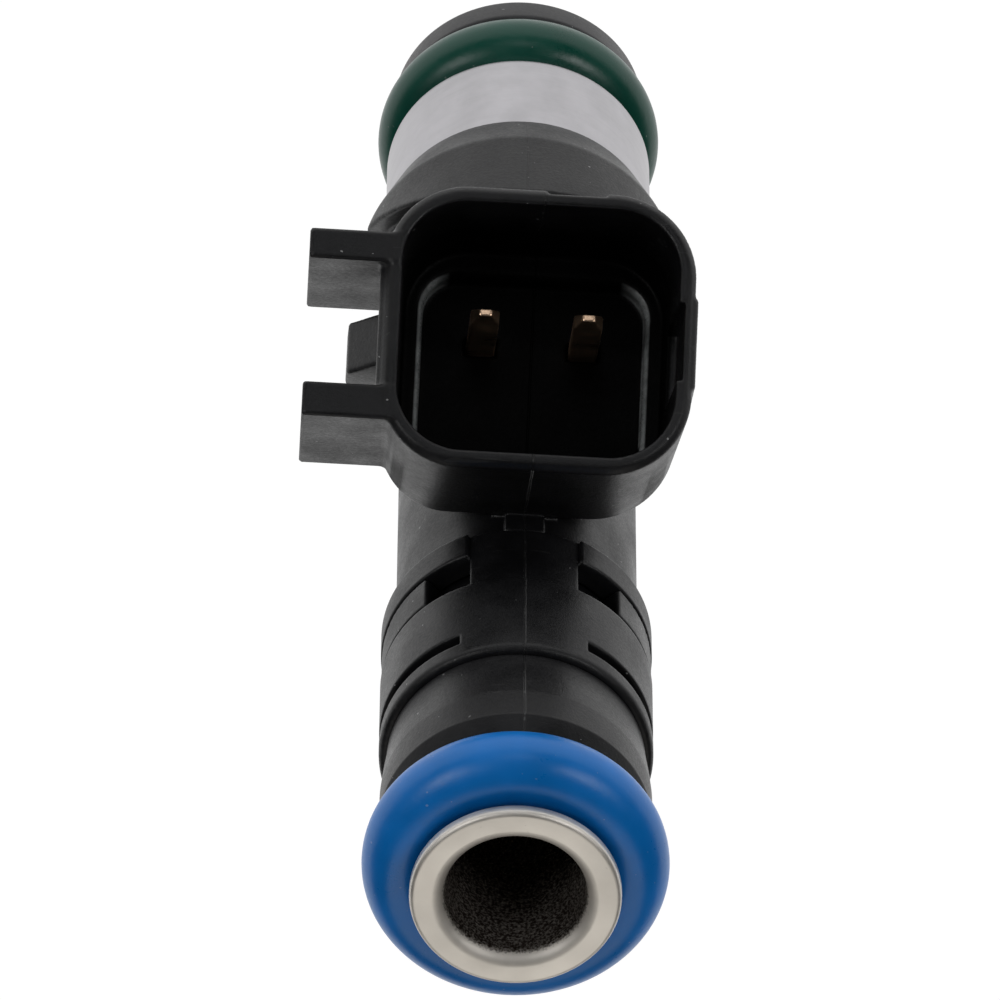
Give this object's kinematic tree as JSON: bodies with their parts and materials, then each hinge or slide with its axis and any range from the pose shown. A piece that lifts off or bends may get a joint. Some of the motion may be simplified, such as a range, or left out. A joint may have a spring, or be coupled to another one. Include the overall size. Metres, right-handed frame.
{
  "type": "fuel injector",
  "caption": "Long port fuel injector with angled shrouded electrical plug, side latch wings, rail inlet tube, sealing rings and a spray nozzle.",
  "frame": {"origin": "centre of the lower seal ring, on the injector's axis", "axes": "+Z along the injector's axis towards the fuel rail, the electrical plug towards -Y, its latch on the +X side"},
  "size_m": [0.019, 0.0283, 0.0709],
  "materials": {
    "inlet_steel": "drawn stainless with a rolled, lightly worn lip",
    "blue_rubber": "satin moulded rubber",
    "green_rubber": "satin moulded rubber",
    "cone_plastic": "fine-grained glass-filled plastic",
    "collar_plastic": "fine-grained glass-filled plastic",
    "body_plastic": "fine-grained glass-filled plastic with parting lines",
    "cap_plastic": "smooth dark grey plastic",
    "plated_brass": "copper-gold plating",
    "filter_plastic": "dull moulded plastic",
    "filter_steel": "fine woven screen",
    "bobbin_plastic": "dull moulded plastic",
    "copper_wire": "enamelled copper wire",
    "silver_steel": "satin zinc-nickel plated steel",
    "inner_steel": "turned stainless",
    "magnet_steel": "dull soft-magnetic steel",
    "hard_steel": "ground and lapped",
    "spring_steel": "drawn wire"
  },
  "bodies": {
    "injector": {"inlet_tube": "inlet_steel", "upper_seal_ring": "blue_rubber", "support_cone": "cone_plastic", "adapter_collar": "collar_plastic", "moulded_body": "body_plastic", "terminal_left": "plated_brass", "terminal_right": "plated_brass", "filter_cage": "filter_plastic", "filter_mesh": "filter_steel", "adjusting_sleeve": "inner_steel", "return_spring": "spring_steel", "pole_core": "magnet_steel", "valve_sleeve": "inner_steel", "coil_bobbin": "bobbin_plastic", "coil_winding": "copper_wire", "flux_washer": "magnet_steel", "magnet_housing": "silver_steel", "valve_body": "inner_steel", "valve_seat": "hard_steel", "orifice_plate": "inner_steel", "lower_seal_ring": "green_rubber", "nozzle_cap": "cap_plastic"},
    "needle": {"armature": "magnet_steel", "valve_needle": "inner_steel", "valve_ball": "hard_steel"}
  },
  "joints": [
    {"name": "needle_lift", "type": "slide", "parent": "injector", "child": "needle", "axis": [0, 0, 1], "range_m": [0, 0.0001], "stiffness_N_per_m": 1000, "springref_m": -0.00002, "deforming": ["return_spring"]}
  ]
}
